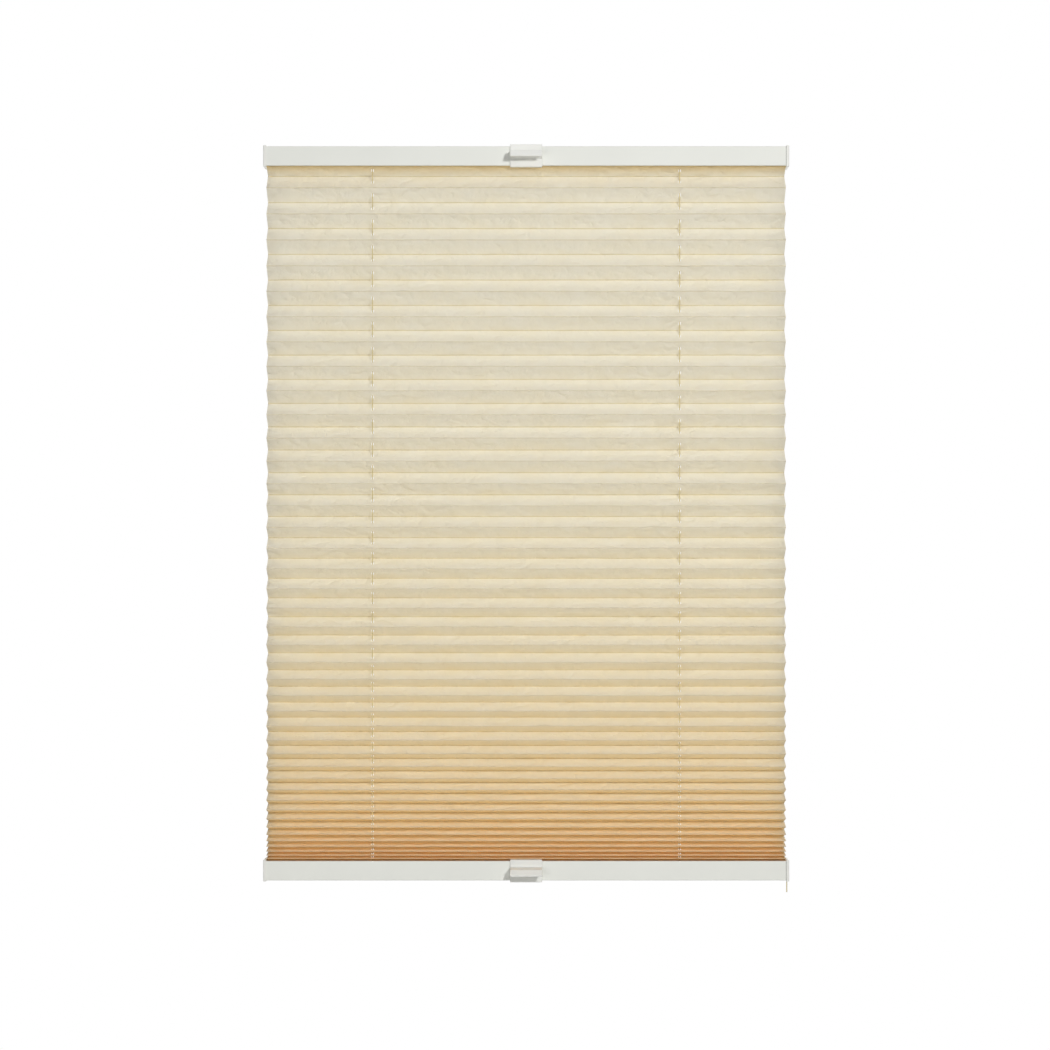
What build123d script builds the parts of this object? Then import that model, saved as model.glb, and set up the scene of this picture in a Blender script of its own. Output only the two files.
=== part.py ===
from build123d import *
import os

# Pleated blind with two handled rails. Millimetres, +Z up, the front faces -Y.
# The origin is the middle of the top rail's flat back.

# Whole blind
blind_width = 500.0          # over the end caps
cut_overrun = 5.0            # how far every cutting shape runs past the wall it cuts

# Rail extrusion, used both ways up
rail_height = 18.5
rail_depth = 22.0
rail_wall = 1.2
rail_corner_radius = 0.9     # outer edges along the rail
chamber_corner_radius = 0.6  # inner edges along the cord chamber
lip_reach = 1.0              # each lip reaches this far past the wall's inner face
groove_radius = 0.5          # runs along the rail for the handle's snap ribs
groove_setback = 1.6         # behind the rail's front face

# Strip that holds the end panel of the fabric in the rail
strip_thickness = 1.5
strip_play = 0.3             # above the strip and at each long edge
strip_end_play = 0.4         # at each end

# End caps
cap_thickness = 2.6
cap_lap = 0.9                # stands past the rail above and below
cap_front_lap = 0.4          # stands past the rail's front face
cap_edge_radius = 0.6
plug_length = 11.0
plug_wall = 1.3
plug_clearance = 0.12
plug_lead = 0.5              # chamfer at the plug's free end
exit_bore_radius = 0.7
exit_bore_length = 3.6       # round wall, from the cap's outer edge inwards

# Pleated fabric
fabric_thickness = 0.4
fabric_end_gap = 0.2         # short of each end cap
pleat_count = 41             # rear folds
pleat_panel = 20.0           # between two folds, along the cloth
pleat_pitch_open = 25.0      # at the top, where the cloth below pulls the pleats open
pleat_pitch_tight = 2.6      # at the bottom, where the pleats lie on each other
pleat_sag_power = 1.48       # how the pitch closes up on the way down
first_fold_drop = 8.0        # first rear fold, under the top rail
last_fold_rise = 2.0         # last front fold, over the bottom rail
slot_fold_gap = 0.4          # from a lip to the fold beside it
cord_slot_length = 5.0       # punched slots for the cords, front to back
cord_slot_width = 3.0

# Tension cords
cord_radius = 0.55
cord_sides = 6               # flats round the plaited cord
cord_spacing = 293.2         # between the two drops
cord_stagger = 2.4           # one cord runs this far behind the other
cord_bend_radius = 4.0       # round the guides and into the end caps
cord_run_height = 6.2        # of the run inside a rail, from the rail's web
cord_tail = 11.4             # hangs out of the bottom right end cap
knot_radius = 1.1
knot_setback = 5.0           # from the end cap's plate

# Cord guides inside the rails
guide_length = 16.0
guide_height = 9.5
guide_clearance = 0.15
guide_lead = 0.4             # chamfer round both ends
channel_clearance = 0.3      # round the cord
eyelet_radius = 3.0
eyelet_clearance = 0.15
strip_hole = 4.8             # square, under each eyelet

# Clip-on handles
handle_width = 30.4
handle_plate = 2.0
handle_leg = 1.4             # thickness of the legs over and under the rail
handle_leg_reach = 2.4
handle_clearance = 0.1
handle_shelf_drop = 6.8      # where the lip leaves the plate, down from the handle's top
handle_shelf_radius = 1.0
handle_shoulder_out = 15.0   # where the lip turns down, from the rail's face
handle_shoulder_drop = 7.6
handle_shoulder_radius = 2.0
handle_lip_out = 19.6
handle_lip_drop = 12.7
handle_lip_edge = 1.6        # height of the lip's rounded lower edge
handle_hollow_rise = 3.4     # how far the finger hollow arches up under the lip
handle_edge_radius = 0.6
rib_radius = 0.4

# Places worked out from the sizes above
rail_half = rail_height / 2
rail_length = blind_width - 2 * cap_thickness
chamber_depth = rail_depth - 2 * rail_wall
strip_room = strip_thickness + strip_play
web_height = rail_wall + strip_room            # the web's lower face, over the open edge
chamber_height = rail_height - web_height - 2 * rail_wall
slot_width = chamber_depth - 2 * lip_reach
middle_y = -rail_depth / 2                     # the fabric's middle plane
front_y = -rail_depth
cord_x = cord_spacing / 2
left_cord_y = middle_y - cord_stagger / 2
right_cord_y = middle_y + cord_stagger / 2
channel_radius = cord_radius + channel_clearance
exit_x = blind_width / 2 - cap_thickness / 2
run_z = rail_half - rail_wall - chamber_height + cord_run_height   # of a top rail, from its middle
join_z = -rail_half + web_height               # where a run meets its drop
fabric_width = rail_length - 2 * fabric_end_gap


def fold_heights():
    """Heights of the rear and front folds, counted down from the top rail's lower edge."""
    rear, front = [], []
    height = -first_fold_drop
    for fold in range(pleat_count):
        closing = (fold / (pleat_count - 1)) ** pleat_sag_power
        pitch = pleat_pitch_tight + (pleat_pitch_open - pleat_pitch_tight) * (1 - closing)
        reach = (pleat_panel ** 2 - (pitch / 2) ** 2) ** 0.5 / 2
        rear.append((middle_y + reach, height))
        front.append((middle_y - reach, height - pitch / 2))
        height -= pitch
    return rear, front


rear_folds, front_folds = fold_heights()
blind_drop = last_fold_rise - front_folds[-1][1]      # between the two rails
bottom_rail_z = -rail_height - blind_drop             # middle of the bottom rail


def at_both_rails(piece):
    """A top rail piece, and the same piece turned over for the bottom rail."""
    turned = mirror(piece, about=Plane.XY)
    return piece, Pos(0, 0, bottom_rail_z) * turned


def rail_section():
    """The extrusion's section, open at its lower edge, on the YZ plane."""
    chamber_z = rail_half - rail_wall - chamber_height / 2
    room_z = -rail_half + rail_wall + strip_room / 2
    outline = RectangleRounded(rail_depth, rail_height, rail_corner_radius)
    outline -= Pos(0, chamber_z) * RectangleRounded(chamber_depth, chamber_height, chamber_corner_radius)
    outline -= Pos(0, room_z) * Rectangle(chamber_depth, strip_room)
    outline -= Pos(0, -rail_half) * Rectangle(slot_width, 2 * rail_wall + strip_play)
    for edge in (-rail_half, rail_half):
        outline -= Pos(-rail_depth / 2 + groove_setback, edge) * Circle(groove_radius)
    return Plane.YZ * Pos(middle_y, 0) * outline


def rail():
    """White lacquered aluminium extrusion with a hole in its web for each cord guide's eyelet."""
    body = extrude(rail_section(), rail_length / 2, both=True)
    eyelet_hole = Cylinder(eyelet_radius + eyelet_clearance, 2 * rail_wall)
    for side in (-1, 1):
        body -= Pos(side * cord_x, middle_y, join_z + rail_wall / 2) * eyelet_hole
    return body


def fabric_strip():
    """Flat strip that lies on the rail's lips, with a square hole for each cord."""
    strip = Box(
        rail_length - 2 * strip_end_play,
        chamber_depth - 2 * strip_play,
        strip_thickness,
    )
    for side in (-1, 1):
        strip -= Pos(side * cord_x, 0, 0) * Box(strip_hole, strip_hole, 2 * strip_thickness)
    return Pos(0, middle_y, -rail_half + rail_wall + strip_thickness / 2) * strip


def chamber_section(depth, height):
    """Section of a piece inside the chamber, its corners cut to clear the chamber's rounded ones."""
    section = Rectangle(depth, height)
    return Plane.YZ * chamfer(section.vertices(), chamber_corner_radius)


def end_cap(cord_y):
    """Right end cap of a top rail: a plate, a hollow plug and the cord's way out at the top."""
    chamber_z = rail_half - rail_wall - chamber_height / 2
    plate_height = rail_height + 2 * cap_lap
    plate_depth = rail_depth + cap_front_lap
    plate = Box(cap_thickness, plate_depth, plate_height)
    outer_edges = plate.faces().sort_by(Axis.X)[-1].edges()
    plate = fillet(outer_edges, cap_edge_radius)
    plate = Pos(exit_x, middle_y - cap_front_lap / 2, 0) * plate

    plug_depth = chamber_depth - 2 * plug_clearance
    plug_height = chamber_height - 2 * plug_clearance
    plug = extrude(chamber_section(plug_depth, plug_height), plug_length / 2, both=True)
    plug = chamfer(plug.faces().sort_by(Axis.X)[0].edges(), plug_lead)
    plug -= Box(plug_length + cut_overrun, plug_depth - 2 * plug_wall, plug_height - 2 * plug_wall)
    plug_x = rail_length / 2 - plug_length / 2
    cap = plate + Pos(plug_x, middle_y, chamber_z) * plug

    # A round bore in the edge, and under it a mouth for the cord's bend, open towards the plug.
    bore_top = rail_half + cap_lap
    bore = Cylinder(exit_bore_radius, exit_bore_length)
    cap -= Pos(exit_x, cord_y, bore_top - exit_bore_length / 2) * bore
    mouth_floor = run_z - channel_radius
    mouth_height = bore_top - exit_bore_length - mouth_floor
    mouth_depth = cap_thickness / 2 + exit_bore_radius
    mouth = Box(mouth_depth, 2 * exit_bore_radius, mouth_height)
    cap -= Pos(rail_length / 2 + mouth_depth / 2, cord_y, mouth_floor + mouth_height / 2) * mouth
    return cap


def cord_guide(cord_y, passing_y=None):
    """Moulded block on the web that turns the cord from its drop to a run towards +X."""
    depth = chamber_depth - 2 * guide_clearance
    web_top = join_z + rail_wall
    block = extrude(chamber_section(depth, guide_height), guide_length / 2, both=True)
    ends = block.faces().filter_by(Axis.X)
    block = chamfer(ends.edges(), guide_lead)
    block = Pos(cord_x, middle_y, web_top + guide_height / 2) * block
    block += Pos(cord_x, middle_y, join_z + rail_wall / 2) * Cylinder(eyelet_radius, rail_wall)

    # The saddle that the cord bends over stays standing under the arc.
    bend_z = run_z - cord_bend_radius
    guide_top = web_top + guide_height + cut_overrun
    opening = Polyline(
        (cord_x - channel_radius, bend_z),
        (cord_x - channel_radius, guide_top),
        (cord_x + guide_length, guide_top),
        (cord_x + guide_length, run_z - channel_radius),
        (cord_x + cord_bend_radius, run_z - channel_radius),
        (cord_x + cord_bend_radius, bend_z),
        close=True,
    )
    channel = make_face(Plane.XZ * opening)
    saddle = Circle(cord_bend_radius - channel_radius)
    channel -= Plane.XZ * Pos(cord_x + cord_bend_radius, bend_z) * saddle
    block -= Pos(0, cord_y, 0) * extrude(channel, channel_radius, both=True)
    drop_height = bend_z - join_z
    block -= Pos(cord_x, cord_y, join_z + drop_height / 2) * Cylinder(channel_radius, drop_height)
    if passing_y is not None:
        groove_height = guide_top - run_z + channel_radius
        groove = Box(guide_length + cut_overrun, 2 * channel_radius, groove_height)
        block -= Pos(cord_x, passing_y, guide_top - groove_height / 2) * groove
    return block


def handle():
    """Clip-on handle: a plate with a leg over and under the rail, and a lip with a finger hollow."""
    top = rail_half + handle_clearance + handle_leg
    inner = rail_half + handle_clearance
    shelf = (-handle_plate, top - handle_shelf_drop)
    shoulder = (-handle_shoulder_out, top - handle_shoulder_drop)
    lip = (-handle_lip_out, top - handle_lip_drop)
    lip_under = (-handle_lip_out + handle_lip_edge / 2, top - handle_lip_drop - handle_lip_edge)
    root = (-handle_plate, lip_under[1])
    crown = ((lip_under[0] + root[0]) / 2, lip_under[1] + handle_hollow_rise)
    outline = Polyline(root, (-handle_plate, -top), (handle_leg_reach, -top), (handle_leg_reach, -inner))
    outline += Polyline(
        (handle_leg_reach, -inner),
        (-handle_clearance, -inner),
        (-handle_clearance, inner),
        (handle_leg_reach, inner),
        (handle_leg_reach, top),
        (-handle_plate, top),
        shelf,
        shoulder,
        lip,
        lip_under,
    )
    outline += ThreePointArc(lip_under, crown, root)
    profile = make_face(outline)
    profile = fillet(profile.vertices().sort_by_distance(shelf)[0], handle_shelf_radius)
    profile = fillet(profile.vertices().sort_by_distance(shoulder)[0], handle_shoulder_radius)
    for corner in (lip, lip_under, (-handle_plate, top), (-handle_plate, -top)):
        profile = fillet(profile.vertices().sort_by_distance(corner)[0], handle_edge_radius)
    for edge in (-inner, inner):
        profile += Pos(groove_setback, edge) * Circle(rib_radius)
    body = extrude(Plane.YZ * Pos(front_y, 0) * profile, handle_width / 2, both=True)
    side_faces = body.faces().filter_by(Axis.X)
    return chamfer(side_faces.edges().filter_by(GeomType.LINE), handle_edge_radius / 2)


def sheet_outline(line, thickness):
    """Closed outline of a folded sheet: square outside each fold and sharp inside it."""
    left, right = [], []
    steps = [(end - start).normalized() for start, end in zip(line, line[1:])]
    normals = [Vector(-step.Y, step.X) for step in steps]
    left.append(line[0] + normals[0] * thickness / 2)
    right.append(line[0] - normals[0] * thickness / 2)
    for point, before, after, ahead in zip(line[1:], normals, normals[1:], steps[1:]):
        inside = (before + after) / (1 + before.dot(after)) * thickness / 2
        if before.dot(ahead) > 0:
            left.append(point + inside)
            right += [point - before * thickness / 2, point - after * thickness / 2]
        else:
            left += [point + before * thickness / 2, point + after * thickness / 2]
            right.append(point - inside)
    left.append(line[-1] + normals[-1] * thickness / 2)
    right.append(line[-1] - normals[-1] * thickness / 2)
    return Polyline(*left, *reversed(right), close=True)


def pleated_fabric():
    """One sheet folded into pleats, its end panels flat against the strips, slotted for the cords."""
    edge_reach = slot_width / 2 - slot_fold_gap - fabric_thickness / 2
    glue_rise = rail_wall - fabric_thickness / 2
    line = [Vector(middle_y + edge_reach, glue_rise), Vector(middle_y - edge_reach, glue_rise)]
    for rear, front in zip(rear_folds, front_folds):
        line += [Vector(*rear), Vector(*front)]
    foot = -blind_drop - glue_rise
    line += [Vector(middle_y + edge_reach, foot), Vector(middle_y - edge_reach, foot)]
    face = make_face(Plane.YZ * Pos(0, -rail_half) * sheet_outline(line, fabric_thickness))
    sheet = extrude(face, fabric_width / 2, both=True)

    side = cord_slot_width / 2
    straight = (cord_slot_length - cord_slot_width) / 2
    slot = Polyline(
        (0, cord_slot_length / 2),
        (side, straight),
        (side, -straight),
        (0, -cord_slot_length / 2),
        (-side, -straight),
        (-side, straight),
        close=True,
    )
    punch = extrude(make_face(slot), -(blind_drop + rail_height))
    for x, y in ((-cord_x, left_cord_y), (cord_x, right_cord_y)):
        sheet -= Pos(x, y, 0) * punch
    return sheet


def cord_along(*corners):
    """A cord along straight runs joined by bends."""
    path = FilletPolyline(*corners, radius=cord_bend_radius)
    section = Plane(path @ 0, z_dir=path % 0) * RegularPolygon(cord_radius, cord_sides)
    return sweep(section, path=path)


def knot(place):
    """The stopper knot at the end of a run along X."""
    section = Plane.YZ * RegularPolygon(knot_radius, cord_sides)
    return Pos(place) * extrude(section, knot_radius, both=True)


def outward_run(cord_y):
    """The run in a top rail from the right guide to the right end cap, where it is knotted."""
    start = Vector(cord_x, cord_y, join_z)
    corner = Vector(cord_x, cord_y, run_z)
    end = Vector(rail_length / 2 - knot_setback, cord_y, run_z)
    return cord_along(start, corner, end) + knot(end)


def crossing_run(cord_y, tail=0):
    """The run in a bottom rail from the left guide to the right end cap, knotted or with a tail."""
    crossing_z = bottom_rail_z - run_z
    start = Vector(-cord_x, cord_y, bottom_rail_z - join_z)
    corner = Vector(-cord_x, cord_y, crossing_z)
    if tail > 0:
        turn = Vector(exit_x, cord_y, crossing_z)
        end = Vector(exit_x, cord_y, bottom_rail_z - rail_half - cap_lap - tail)
        return cord_along(start, corner, turn, end)
    end = Vector(rail_length / 2 - knot_setback, cord_y, crossing_z)
    return cord_along(start, corner, end) + knot(end)


def drop_cord(side, cord_y):
    """The straight stretch of a cord between the two rails."""
    length = join_z - (bottom_rail_z - join_z)
    section = Pos(side * cord_x, cord_y, join_z) * RegularPolygon(cord_radius, cord_sides)
    return extrude(section, -length)


def build_blind():
    """Every piece of the blind by its name."""
    pieces = {}
    pieces["top_rail"], pieces["bottom_rail"] = at_both_rails(rail())
    pieces["top_fabric_strip"], pieces["bottom_fabric_strip"] = at_both_rails(fabric_strip())
    pieces["top_handle"] = handle()
    pieces["bottom_handle"] = Pos(0, 0, bottom_rail_z) * handle()

    # The cords cross inside the bottom rail, so each one leaves it at the other end.
    sides = (("left", -1, left_cord_y, right_cord_y), ("right", 1, right_cord_y, left_cord_y))
    for name, side, own_y, other_y in sides:
        outward = cord_guide(own_y)
        inward = mirror(cord_guide(own_y, other_y), about=Plane.YZ.offset(cord_x))
        right_hand = {
            f"top_{name}_cord_guide": outward,
            f"bottom_{name}_cord_guide": at_both_rails(inward)[1],
            f"top_{name}_end_cap": end_cap(own_y),
            f"bottom_{name}_end_cap": at_both_rails(end_cap(other_y))[1],
            f"top_{name}_cord_run": outward_run(own_y),
        }
        for node, piece in right_hand.items():
            pieces[node] = piece if side > 0 else mirror(piece, about=Plane.YZ)
        pieces[f"{name}_drop_cord"] = drop_cord(side, own_y)
    pieces["bottom_left_cord_run"] = crossing_run(left_cord_y, cord_tail)
    pieces["bottom_right_cord_run"] = mirror(crossing_run(right_cord_y), about=Plane.YZ)
    pieces["pleated_fabric"] = pleated_fabric()
    return pieces


os.makedirs("parts", exist_ok=True)
for name, piece in build_blind().items():
    export_step(piece, f"parts/{name}.step")
print(f"drop between the rails {blind_drop:.2f} mm, bottom rail's middle at {bottom_rail_z:.2f} mm")
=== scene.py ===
import math

import bmesh
import bpy
from mathutils import Matrix, Vector, noise


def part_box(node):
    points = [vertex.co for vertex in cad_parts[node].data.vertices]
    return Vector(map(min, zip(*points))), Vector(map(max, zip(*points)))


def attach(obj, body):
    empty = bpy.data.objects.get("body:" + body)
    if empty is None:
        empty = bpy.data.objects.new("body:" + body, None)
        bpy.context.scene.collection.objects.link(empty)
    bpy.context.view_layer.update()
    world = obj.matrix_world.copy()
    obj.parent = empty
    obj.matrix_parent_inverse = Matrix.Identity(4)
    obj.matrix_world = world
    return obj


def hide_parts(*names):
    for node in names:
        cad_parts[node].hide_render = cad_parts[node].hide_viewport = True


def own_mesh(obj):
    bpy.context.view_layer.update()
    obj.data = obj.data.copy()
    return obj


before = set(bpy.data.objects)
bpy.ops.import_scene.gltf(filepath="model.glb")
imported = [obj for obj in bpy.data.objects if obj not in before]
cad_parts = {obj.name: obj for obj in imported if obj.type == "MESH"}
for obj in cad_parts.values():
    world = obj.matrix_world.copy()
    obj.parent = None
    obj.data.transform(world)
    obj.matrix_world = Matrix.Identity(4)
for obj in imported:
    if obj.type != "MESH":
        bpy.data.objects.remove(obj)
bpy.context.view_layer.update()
scene = bpy.context.scene
mm = 0.001

topRailLow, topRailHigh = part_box("top_rail")
clothLow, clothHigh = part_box("pleated_fabric")
middleY = (topRailLow.y + topRailHigh.y) / 2    # the cloth hangs in the middle of the rails
print("frame loaded:", len(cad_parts), "nodes")


def linear(hexColour):
    channels = [int(hexColour[place:place + 2], 16) / 255 for place in (0, 2, 4)]
    return [c / 12.92 if c <= 0.04045 else ((c + 0.055) / 1.055) ** 2.4 for c in channels] + [1.0]


def addNode(tree, kind, links=None, **settings):
    made = tree.nodes.new("ShaderNode" + kind)
    for name, value in settings.items():
        setattr(made, name, value)
    for name, value in (links or {}).items():
        if isinstance(value, bpy.types.NodeSocket):
            tree.links.new(value, made.inputs[name])
        else:
            made.inputs[name].default_value = value
    return made


def startMaterial(name, **sockets):
    material = bpy.data.materials.new(name)
    material.use_nodes = True
    shader = material.node_tree.nodes["Principled BSDF"]
    for socket, value in sockets.items():
        shader.inputs[socket.replace("_", " ")].default_value = value
    return material, material.node_tree, shader


# Camera: straight on, a long lens two and a half metres away
viewPlan = {
    "distance": 2450 * mm,       # from the rails' front face
    "frameWidth": 998 * mm,      # the picture's width there
    "side": -1.1 * mm,           # of the lens's axis
    "height": -350.9 * mm,
    "sensor": 36.0,
}
camera = bpy.data.cameras.new("frontCamera")
camera.sensor_width = viewPlan["sensor"]
camera.lens = viewPlan["sensor"] * viewPlan["distance"] / viewPlan["frameWidth"]
cameraObject = bpy.data.objects.new("frontCamera", camera)
cameraObject.location = (viewPlan["side"], topRailLow.y - viewPlan["distance"], viewPlan["height"])
cameraObject.rotation_euler = (math.pi / 2, 0, 0)
scene.collection.objects.link(cameraObject)
scene.camera = cameraObject
print("camera set")


# Crushed polyester cloth, pleated and steamed: matt, cream, with fine broken creases all over and a
# darker line along each fold, partly the pressed crease's own tone and partly painted shade. Some light
# comes through it. Where the pleats lie close, the cream is painted deeper, standing in for light going
# from layer to layer, and painted shade lies under the top rail and at the rear of close panels.
clothLook = {
    "creamOpen": "F8F6ED",
    # painted: a deeper, warmer cream where the pleats lie close, standing in for light bounced between them
    "paintedBounceCream": "FFECBE",
    "closePower": 1.7,           # how late the painted deepening starts on the way down
    "throughTint": "FFF6E5",     # of the light that comes through
    "mottle": "FFFBF0",
    # fold lines: partly the pressed crease's own tone, partly painted shade; also painted shade under the
    # top rail and at the rear of close panels facing down
    "foldLine": "E9E2CE",
    "throughShare": 0.2,
    "creaseSize": 14 * mm,
    "creaseWarp": 9 * mm,
    "creaseDepth": 0.5 * mm,
    "creaseStrength": 1.0,
    "creaseRoughness": 0.55,     # of the ridge noise, as its offset and gain
    "creaseOffset": 1.0,
    "creaseGain": 1.6,
    "mottleSize": 30 * mm,
    "roughness": 0.85,
    "specular": 0.2,
}


def crushedPolyester():
    look = clothLook
    material, tree, shader = startMaterial(
        "crushedPolyester", Roughness=look["roughness"], Specular_IOR_Level=look["specular"],
    )
    flat = addNode(tree, "UVMap", uv_map="flatCloth").outputs["UV"]
    warp = addNode(tree, "TexNoise", {"Vector": flat, "Scale": 1 / look["creaseSize"], "Detail": 2.0})
    pulled = addNode(
        tree, "VectorMath", {0: warp.outputs["Color"], 1: (look["creaseWarp"],) * 3, 2: flat},
        operation="MULTIPLY_ADD",
    ).outputs["Vector"]
    creases = addNode(
        tree, "TexNoise",
        {
            "Vector": pulled, "Scale": 1 / look["creaseSize"], "Detail": 3.0,
            "Roughness": look["creaseRoughness"], "Offset": look["creaseOffset"],
            "Gain": look["creaseGain"],
        },
        noise_type="RIDGED_MULTIFRACTAL", normalize=False,
    )
    bump = addNode(
        tree, "Bump",
        {
            "Height": creases.outputs["Fac"],
            "Distance": look["creaseDepth"], "Strength": look["creaseStrength"],
        },
    ).outputs["Normal"]
    # The cream is painted deeper where the pleats lie close, standing in for light bounced between and
    # through tight pleats
    paintedBounceShare = addNode(tree, "Attribute", attribute_name="paintedBounceShare").outputs["Fac"]
    deep = addNode(tree, "Math", {0: paintedBounceShare, 1: look["closePower"]}, operation="POWER").outputs["Value"]
    cream = addNode(
        tree, "Mix", {"Factor": deep, "A": linear(look["creamOpen"]), "B": linear(look["paintedBounceCream"])},
        data_type="RGBA",
    )
    mottle = addNode(tree, "TexNoise", {"Vector": flat, "Scale": 1 / look["mottleSize"], "Detail": 3.0})
    mottled = addNode(
        tree, "Mix",
        {"Factor": mottle.outputs["Fac"], "A": cream.outputs["Result"], "B": linear(look["mottle"])},
        data_type="RGBA", blend_type="MULTIPLY",
    )
    # Darker fold lines, partly the crease's own tone and partly painted shade, with painted shade under the
    # top rail and at the rear of close panels facing down
    fold = addNode(tree, "Attribute", attribute_name="foldLine").outputs["Fac"]
    colour = addNode(
        tree, "Mix", {"Factor": fold, "A": mottled.outputs["Result"], "B": linear(look["foldLine"])},
        data_type="RGBA", blend_type="MULTIPLY",
    ).outputs["Result"]
    tree.links.new(colour, shader.inputs["Base Color"])
    tree.links.new(bump, shader.inputs["Normal"])
    warmed = addNode(
        tree, "Mix", {"Factor": 1.0, "A": colour, "B": linear(look["throughTint"])},
        data_type="RGBA", blend_type="MULTIPLY",
    ).outputs["Result"]
    through = addNode(tree, "BsdfTranslucent", {"Color": warmed, "Normal": bump})
    sheet = addNode(
        tree, "MixShader",
        {"Fac": look["throughShare"], 1: shader.outputs["BSDF"], 2: through.outputs["BSDF"]},
    )
    tree.links.new(sheet.outputs["Shader"], tree.nodes["Material Output"].inputs["Surface"])
    return material


# White powder lacquer on extruded aluminium: satin, with a faint orange peel, and a painted shadow hairline
# on the rails at their right ends, beside the end caps
lacquerLook = {
    "white": "F2F3EC",
    "whiteShade": "EDEEE7",
    "capShadowGrey": "8C8C86",
    "cloudSize": 60 * mm,
    "peelSize": 1.4 * mm,
    "peelDepth": 0.02 * mm,
    "peelStrength": 0.3,
    "capShadowWidth": 0.45 * mm,
    "roughness": 0.5,
    "specular": 0.25,
}


def whiteLacquer():
    look = lacquerLook
    material, tree, shader = startMaterial(
        "whiteLacquerOnAluminium", Roughness=look["roughness"], Specular_IOR_Level=look["specular"],
    )
    place = addNode(tree, "TexCoord").outputs["Object"]
    cloud = addNode(tree, "TexNoise", {"Vector": place, "Scale": 1 / look["cloudSize"], "Detail": 2.0})
    white = addNode(
        tree, "Mix",
        {"Factor": cloud.outputs["Fac"], "A": linear(look["white"]), "B": linear(look["whiteShade"])},
        data_type="RGBA",
    )
    # painted shadow: a dark hairline on the rails at their right ends, where the end caps would cast shade
    across = addNode(tree, "SeparateXYZ", {"Vector": place}).outputs["X"]
    capShadowBand = addNode(
        tree, "Math", {0: across, 1: topRailHigh.x - look["capShadowWidth"]}, operation="GREATER_THAN",
    )
    colour = addNode(
        tree, "Mix",
        {"Factor": capShadowBand.outputs["Value"], "A": white.outputs["Result"], "B": linear(look["capShadowGrey"])},
        data_type="RGBA",
    )
    peel = addNode(tree, "TexNoise", {"Vector": place, "Scale": 1 / look["peelSize"], "Detail": 1.0})
    bump = addNode(
        tree, "Bump",
        {"Height": peel.outputs["Fac"], "Distance": look["peelDepth"], "Strength": look["peelStrength"]},
    )
    tree.links.new(colour.outputs["Result"], shader.inputs["Base Color"])
    tree.links.new(bump.outputs["Normal"], shader.inputs["Normal"])
    return material


# Injection-moulded plastics: even whites, glossier where the mould was polished, finely grained elsewhere
plasticLooks = {
    "whiteAbsCap": {"colour": "F2F2EC", "shade": "EDEDE7", "roughness": 0.5, "grain": 0.7 * mm},
    "whiteAbsHandle": {"colour": "F3F3EE", "shade": "EFEFEA", "roughness": 0.45, "grain": 1.6 * mm},
    "whitePvcStrip": {"colour": "EEEEE8", "shade": "E6E6DF", "roughness": 0.5, "grain": 1.2 * mm},
    "whiteAcetalGuide": {"colour": "ECECE6", "shade": "E4E4DE", "roughness": 0.45, "grain": 0.9 * mm},
}
grainDepth = 0.015 * mm
grainStrength = 0.4
flowSize = 18 * mm
sheenSpread = 0.1                # of the roughness, either way
plasticSpecular = 0.3


def mouldedPlastic(name):
    look = plasticLooks[name]
    material, tree, shader = startMaterial(name, Specular_IOR_Level=plasticSpecular)
    place = addNode(tree, "TexCoord").outputs["Object"]
    flow = addNode(tree, "TexNoise", {"Vector": place, "Scale": 1 / flowSize, "Detail": 2.0}).outputs["Fac"]
    colour = addNode(
        tree, "Mix", {"Factor": flow, "A": linear(look["colour"]), "B": linear(look["shade"])},
        data_type="RGBA",
    )
    sheen = addNode(
        tree, "MapRange",
        {
            "Value": flow,
            "To Min": look["roughness"] * (1 - sheenSpread),
            "To Max": look["roughness"] * (1 + sheenSpread),
        },
    )
    grain = addNode(tree, "TexNoise", {"Vector": place, "Scale": 1 / look["grain"], "Detail": 2.0})
    bump = addNode(
        tree, "Bump", {"Height": grain.outputs["Fac"], "Distance": grainDepth, "Strength": grainStrength},
    )
    tree.links.new(colour.outputs["Result"], shader.inputs["Base Color"])
    tree.links.new(sheen.outputs["Result"], shader.inputs["Roughness"])
    tree.links.new(bump.outputs["Normal"], shader.inputs["Normal"])
    return material


# Plaited polyester cord: cream, slightly shiny, with slanting bands from the plait
cordLook = {
    "cream": "E4D6A8",
    "groove": "C6B581",
    "plaitPitch": 1.3 * mm,
    "wavePhase": 10,             # a slanting wave texture's phase over one unit
    "roughness": 0.6,
}


def plaitedPolyester():
    look = cordLook
    material, tree, shader = startMaterial("plaitedPolyesterCord", Roughness=look["roughness"])
    place = addNode(tree, "TexCoord").outputs["Object"]
    plait = addNode(
        tree, "TexWave",
        {"Vector": place, "Scale": math.tau / (look["wavePhase"] * look["plaitPitch"]), "Distortion": 1.0},
        bands_direction="DIAGONAL",
    )
    colour = addNode(
        tree, "Mix",
        {"Factor": plait.outputs["Fac"], "A": linear(look["groove"]), "B": linear(look["cream"])},
        data_type="RGBA",
    )
    tree.links.new(colour.outputs["Result"], shader.inputs["Base Color"])
    return material


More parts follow.
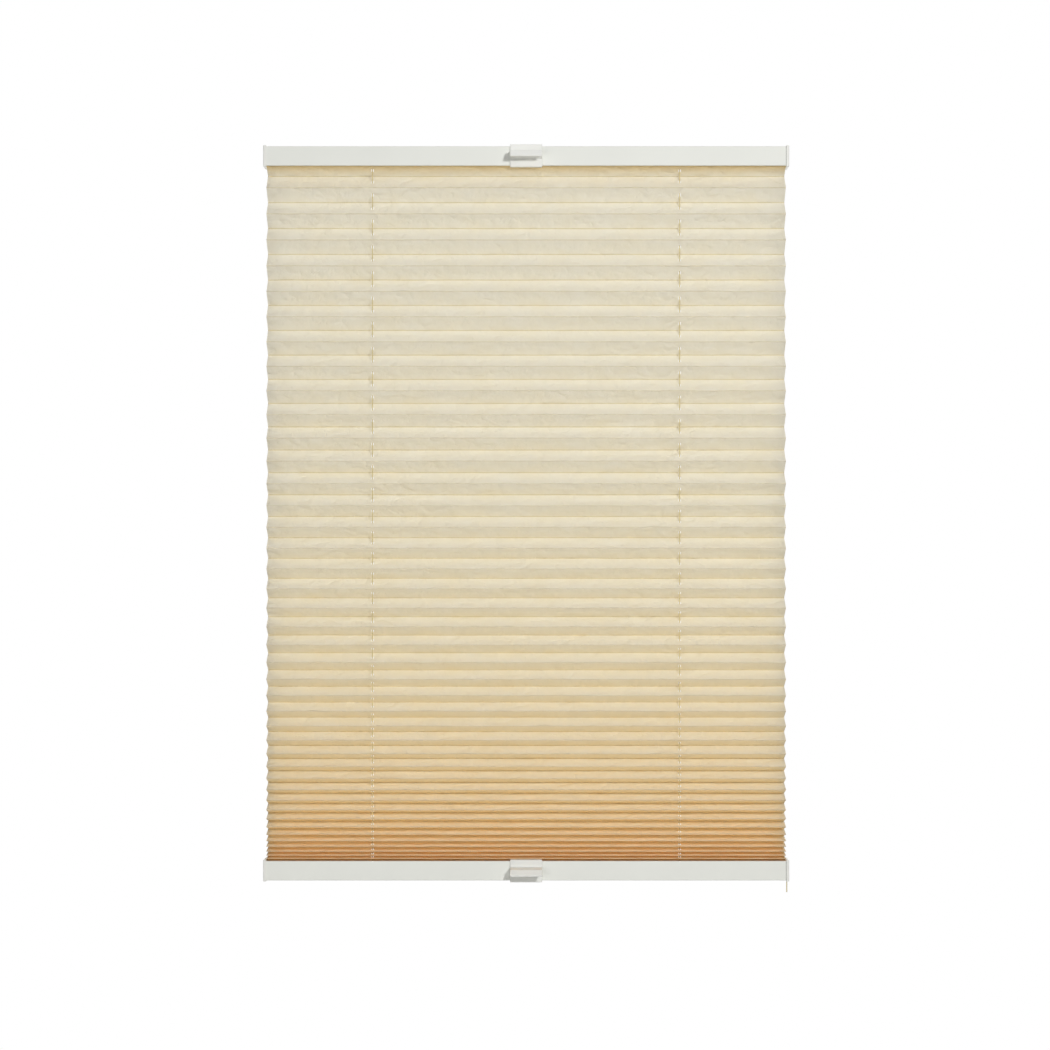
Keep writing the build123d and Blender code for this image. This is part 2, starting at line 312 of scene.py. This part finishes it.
# Pleated cloth: a flat grid, slotted for the cords, folded along its pleats and crushed
clothPlan = {
    "pleats": 41,                # rear folds
    "panel": 20 * mm,            # cloth between two folds
    "pitchOpen": 25 * mm,        # at the top, where the weight pulls the pleats open
    "pitchTight": 2.6 * mm,      # at the bottom, where they lie on each other
    "sagPower": 1.48,
    "firstDrop": 8 * mm,         # first rear fold, under the top rail
    "glueReach": 8.2 * mm,       # half the depth of the glued end panels
    "thickness": 0.25 * mm,      # the one layer's ends are set in by half of it
    "columns": 150,
    "rowStops": (0, 0.07, 0.2, 0.375, 0.625, 0.8, 0.93, 1),   # rows of a panel, its slot in the middle one
    "slotHalfWidth": 1.1 * mm,
    "slotWaist": 0.75,           # the slot's long sides, as a share of its length
    "cutReach": 1e-7,            # how near a vertex may be to a cut
    "sameSpot": 0.01 * mm,
    "crinkleSize": 16 * mm,
    "crinkleDepth": 0.5 * mm,
    "crinkleRidge": (0.9, 2.1, 2, 0.9, 1.6),   # dimension, lacunarity, octaves, offset and gain
    "crinkleLevel": 0.9,         # the ridges' middle height
    "crinkleRoom": 8 * mm,       # panels that fall less than this are crushed less
    "foldWander": 0.3 * mm,
    "wanderScale": 0.7,          # of the crinkle's pattern
    "wanderLayer": 40,           # its place in the noise
    "sharpAngle": 50,            # degrees; folds stay crisp and crinkles smooth
    "facingUpBounceShare": 0.5,           # share of the painted deepening on panels that face up, which catch more direct light
    "paintedRearShade": 0.4,           # of the painted shade in the fold line's colour, at the rear of closed panels that face down
    "frontMark": 0.65,           # of the front fold lines, against the rear ones
    "rearFade": 0.5,             # what the rear fold lines lose where the panels lie close
}


def foldLine():
    plan = clothPlan
    half = plan["thickness"] / 2
    top, foot = clothHigh.z - half, clothLow.z + half
    ends = (middleY + plan["glueReach"], middleY - plan["glueReach"])
    line = [(y, top, 1.0) for y in ends]
    z = topRailLow.z - plan["firstDrop"]
    for fold in range(plan["pleats"]):
        closing = (fold / (plan["pleats"] - 1)) ** plan["sagPower"]
        pitch = plan["pitchTight"] + (plan["pitchOpen"] - plan["pitchTight"]) * (1 - closing)
        reach = math.sqrt(plan["panel"] ** 2 - (pitch / 2) ** 2) / 2
        line += [(middleY + reach, z, closing), (middleY - reach, z - pitch / 2, closing)]
        z -= pitch
    line += [(y, foot, 1.0) for y in ends]
    return [Vector((0, y, height)) for y, height, closing in line], [closing for y, height, closing in line]


# How much of the fold line's darker colour each point gets: at the folds partly the crease's own tone and
# partly painted shade, elsewhere painted shade only
def clothShade(panel, share, gathered):
    plan = clothPlan
    if share in (0, 1):
        rear = (panel + share) % 2 == 0
        return 1 - plan["rearFade"] * gathered if rear else plan["frontMark"] * (1 - gathered) ** 2
    if panel == 1:
        return 1 - share                     # painted shadow of the top rail
    # painted shade deepening towards the rear fold of close panels that face down
    return plan["paintedRearShade"] * gathered * share ** 2 if panel % 2 else 0


def pleatedCloth(cordPlaces):
    plan = clothPlan
    line, closings = foldLine()
    panels = [b - a for a, b in zip(line, line[1:])]
    rows = len(plan["rowStops"]) - 1
    width = clothHigh.x - clothLow.x
    mesh = bmesh.new()
    bmesh.ops.create_grid(
        mesh, x_segments=plan["columns"], y_segments=len(panels) * rows, size=0.5,
        matrix=Matrix.Diagonal((width, len(panels) * rows, 1, 1)),
    )
    slotSides = []
    for cordX in cordPlaces:
        for side in (-1, 0, 1):
            bmesh.ops.bisect_plane(
                mesh, geom=mesh.verts[:] + mesh.edges[:] + mesh.faces[:], dist=plan["cutReach"],
                plane_co=(cordX + side * plan["slotHalfWidth"], 0, 0), plane_no=(1, 0, 0),
            )
            if side:
                slotSides.append(cordX + side * plan["slotHalfWidth"])

    # Punch the cord slots through the middle row of every panel
    punched = []
    for face in mesh.faces:
        centre = face.calc_center_median()
        row = math.floor(centre.y + len(panels) * rows / 2) % rows
        if row == rows // 2 and any(abs(centre.x - x) < plan["slotHalfWidth"] for x in cordPlaces):
            punched.append(face)
    bmesh.ops.delete(mesh, geom=punched, context="FACES")

    # Fold the sheet along its line, crush it a little, and keep the flat place as its UV map
    lengths = [panel.length for panel in panels]
    flatPlaces = {}
    paintedBounceShare = mesh.verts.layers.float.new("paintedBounceShare")
    foldLineAndPaintedShade = mesh.verts.layers.float.new("foldLine")
    for vert in mesh.verts:
        step = round(vert.co.y + len(panels) * rows / 2)
        panel = min(step // rows, len(panels) - 1)
        share = plan["rowStops"][step - panel * rows]
        if any(abs(vert.co.x - x) < plan["sameSpot"] for x in slotSides):
            if step % rows in (rows // 2, rows // 2 + 1):
                share = 0.5 + (share - 0.5) * plan["slotWaist"]
        flat = Vector((vert.co.x, sum(lengths[:panel]) + share * lengths[panel], 0))
        flatPlaces[vert] = flat
        # Painted into attributes: the deeper cream where pleats close (less on panels facing up to the
        # light), and fold lines with painted shade
        gathered = closings[panel] * (1 - share) + closings[panel + 1] * share
        faceUp = (panel + share) % 2 == 1 if share in (0, 1) else panel % 2 == 0    # and front folds
        vert[paintedBounceShare] = gathered * plan["facingUpBounceShare"] if faceUp else gathered
        vert[foldLineAndPaintedShade] = clothShade(panel, share, gathered)
        along = panels[panel]
        normal = Vector((0, along.z, -along.y)).normalized()
        room = min(1.0, abs(along.z) / plan["crinkleRoom"])
        spot = flat / plan["crinkleSize"]
        crush = noise.ridged_multi_fractal(spot, *plan["crinkleRidge"]) - plan["crinkleLevel"]
        place = line[panel] + along * share
        if share in (0, 1):
            sway = noise.noise(spot * plan["wanderScale"] + Vector((0, 0, plan["wanderLayer"])))
            place.z += sway * plan["foldWander"] * room
        else:
            place += normal * crush * plan["crinkleDepth"] * room * math.sin(math.pi * share)
        vert.co = (flat.x, place.y, place.z)
    uv = mesh.loops.layers.uv.new("flatCloth")
    for face in mesh.faces:
        face.smooth = True
        for loop in face.loops:
            loop[uv].uv = flatPlaces[loop.vert].xy
    data = bpy.data.meshes.new("pleatedCloth")
    mesh.to_mesh(data)
    mesh.free()
    cloth = bpy.data.objects.new("pleatedCloth", data)
    scene.collection.objects.link(cloth)
    cloth.data.set_sharp_from_angle(angle=math.radians(plan["sharpAngle"]))
    flatSize = (width, sum(lengths))
    return cloth, flatSize


dropCords = ("left_drop_cord", "right_drop_cord")
cordPlaces = [(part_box(node)[0].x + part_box(node)[1].x) / 2 for node in dropCords]
cloth, flatSize = pleatedCloth(cordPlaces)
cloth.data.materials.append(crushedPolyester())
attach(cloth, "top_assembly")
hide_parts("pleated_fabric")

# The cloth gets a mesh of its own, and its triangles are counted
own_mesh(cloth)
cloth.data.calc_loop_triangles()
print("cloth:", len(cloth.data.loop_triangles), "triangles, flat", [round(side, 4) for side in flatSize])


# Drop cords: three strands twisted together
cordPlan = {
    "strands": 3,
    "segments": 12,
    "twist": 5 * mm,             # one turn of a strand
    "ring": 0.9 * mm,
    "strandShare": 0.12,         # how far the strands stand out of the cord's round
}


def twistedCord(node):
    plan = cordPlan
    low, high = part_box(node)
    radius = (high.x - low.x) / 2
    length = high.z - low.z
    mesh = bmesh.new()
    bmesh.ops.create_cone(
        mesh, cap_ends=True, segments=plan["segments"], radius1=radius, radius2=radius, depth=length,
    )
    upright = [edge for edge in mesh.edges if abs(edge.verts[0].co.z - edge.verts[1].co.z) > length / 2]
    bmesh.ops.subdivide_edges(mesh, edges=upright, cuts=round(length / plan["ring"]), use_grid_fill=True)
    for vert in mesh.verts:
        angle = math.atan2(vert.co.y, vert.co.x) - math.tau * vert.co.z / plan["twist"]
        swell = 1 - plan["strandShare"] * (1 - abs(math.cos(angle * plan["strands"] / 2)))
        vert.co.x *= swell
        vert.co.y *= swell
    bmesh.ops.translate(mesh, verts=mesh.verts[:], vec=(low + high) / 2)
    for face in mesh.faces:
        face.smooth = True
    data = bpy.data.meshes.new(node + "_twisted")
    mesh.to_mesh(data)
    mesh.free()
    cord = bpy.data.objects.new(node + "_twisted", data)
    scene.collection.objects.link(cord)
    return cord


cordCloth = plaitedPolyester()
for node in dropCords:
    cord = twistedCord(node)
    cord.data.materials.append(cordCloth)
    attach(cord, "top_assembly")
    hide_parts(node)
    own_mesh(cord)
print("drop cords twisted")


# Finishes of the solid pieces, by the words in their names
finishes = {
    "rail": whiteLacquer(),
    "end_cap": mouldedPlastic("whiteAbsCap"),
    "handle": mouldedPlastic("whiteAbsHandle"),
    "strip": mouldedPlastic("whitePvcStrip"),
    "guide": mouldedPlastic("whiteAcetalGuide"),
    "cord_run": cordCloth,
}
for name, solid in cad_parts.items():
    for word, finish in finishes.items():
        if name.endswith(word):
            solid.data.materials.clear()
            solid.data.materials.append(finish)
print("solid pieces finished")


# Matt white paint rolled on a board: a fine stipple from the roller and faint broad clouds
floorLook = {
    "white": "F3F3F1",
    "whiteShade": "EDEDEA",
    "cloudSize": 250 * mm,
    "stippleSize": 2.5 * mm,
    "stippleDepth": 0.1 * mm,
    "stippleStrength": 0.4,
    "roughness": 0.8,
}


def mattPaint():
    look = floorLook
    material, tree, shader = startMaterial("mattPaintedBoard", Roughness=look["roughness"])
    place = addNode(tree, "TexCoord").outputs["Object"]
    cloud = addNode(tree, "TexNoise", {"Vector": place, "Scale": 1 / look["cloudSize"], "Detail": 2.0})
    colour = addNode(
        tree, "Mix",
        {"Factor": cloud.outputs["Fac"], "A": linear(look["white"]), "B": linear(look["whiteShade"])},
        data_type="RGBA",
    )
    stipple = addNode(tree, "TexNoise", {"Vector": place, "Scale": 1 / look["stippleSize"], "Detail": 1.0})
    bump = addNode(
        tree, "Bump",
        {
            "Height": stipple.outputs["Fac"],
            "Distance": look["stippleDepth"], "Strength": look["stippleStrength"],
        },
    )
    tree.links.new(colour.outputs["Result"], shader.inputs["Base Color"])
    tree.links.new(bump.outputs["Normal"], shader.inputs["Normal"])
    return material


# Pale studio: a round floor under the blind, too small and low for the front view, and white all round
studio = {
    "floorHeight": -1200 * mm,
    "floorRadius": 1500 * mm,
    "floorSegments": 96,
    "background": "FFFFFF",
    "ambient": 0.01,             # of the background's light on the pieces
    "bounces": 16,               # light bounces many times between tight pleats
}
mesh = bmesh.new()
bmesh.ops.create_circle(
    mesh, cap_ends=True, segments=studio["floorSegments"], radius=studio["floorRadius"],
    matrix=Matrix.Translation((0, 0, studio["floorHeight"])),
)
data = bpy.data.meshes.new("studioFloor")
mesh.to_mesh(data)
mesh.free()
floor = bpy.data.objects.new("studioFloor", data)
scene.collection.objects.link(floor)
floor.data.materials.append(mattPaint())

world = bpy.data.worlds.new("whiteStudio")
world.use_nodes = True
scene.world = world
tree = world.node_tree
seen = addNode(tree, "LightPath").outputs["Is Camera Ray"]
back = tree.nodes["Background"]
back.inputs["Color"].default_value = linear(studio["background"])
level = addNode(tree, "MapRange", {"Value": seen, "To Min": studio["ambient"], "To Max": 1.0})
tree.links.new(level.outputs["Result"], back.inputs["Strength"])

# Lamps in metres and watts, all aimed at the middle of the cloth
lamps = {
    "rightKey": {"place": (0.73, -2.12, 0.225), "size": 0.25, "watts": 25.4},
    "leftFill": {"place": (-0.8, -2.1, -0.5), "size": 0.7, "watts": 9.6},
    "overhead": {"place": (0.0, -0.9, 1.6), "size": 1.6, "watts": 3.5},
    "frontHigh": {"place": (0.0, -1.5, 0.7), "size": 1.2, "watts": 3.6},
    "topSoft": {"place": (0.0, 0.25, 1.7), "size": 1.0, "watts": 9},
    "litBackdrop": {"place": (0.0, 2.2, -0.3), "size": 2.4, "watts": 46},
}
aim = Vector((0, middleY, viewPlan["height"]))
for name, lamp in lamps.items():
    light = bpy.data.lights.new(name, "AREA")
    light.size = lamp["size"]
    light.energy = lamp["watts"]
    lampObject = bpy.data.objects.new(name, light)
    lampObject.location = lamp["place"]
    lampObject.visible_camera = False
    lampObject.rotation_euler = (aim - lampObject.location).to_track_quat("-Z", "Y").to_euler()
    scene.collection.objects.link(lampObject)
scene.view_settings.view_transform = "Standard"
scene.cycles.max_bounces = studio["bounces"]
scene.cycles.diffuse_bounces = studio["bounces"]
scene.cycles.transmission_bounces = studio["bounces"]
print("studio lit")
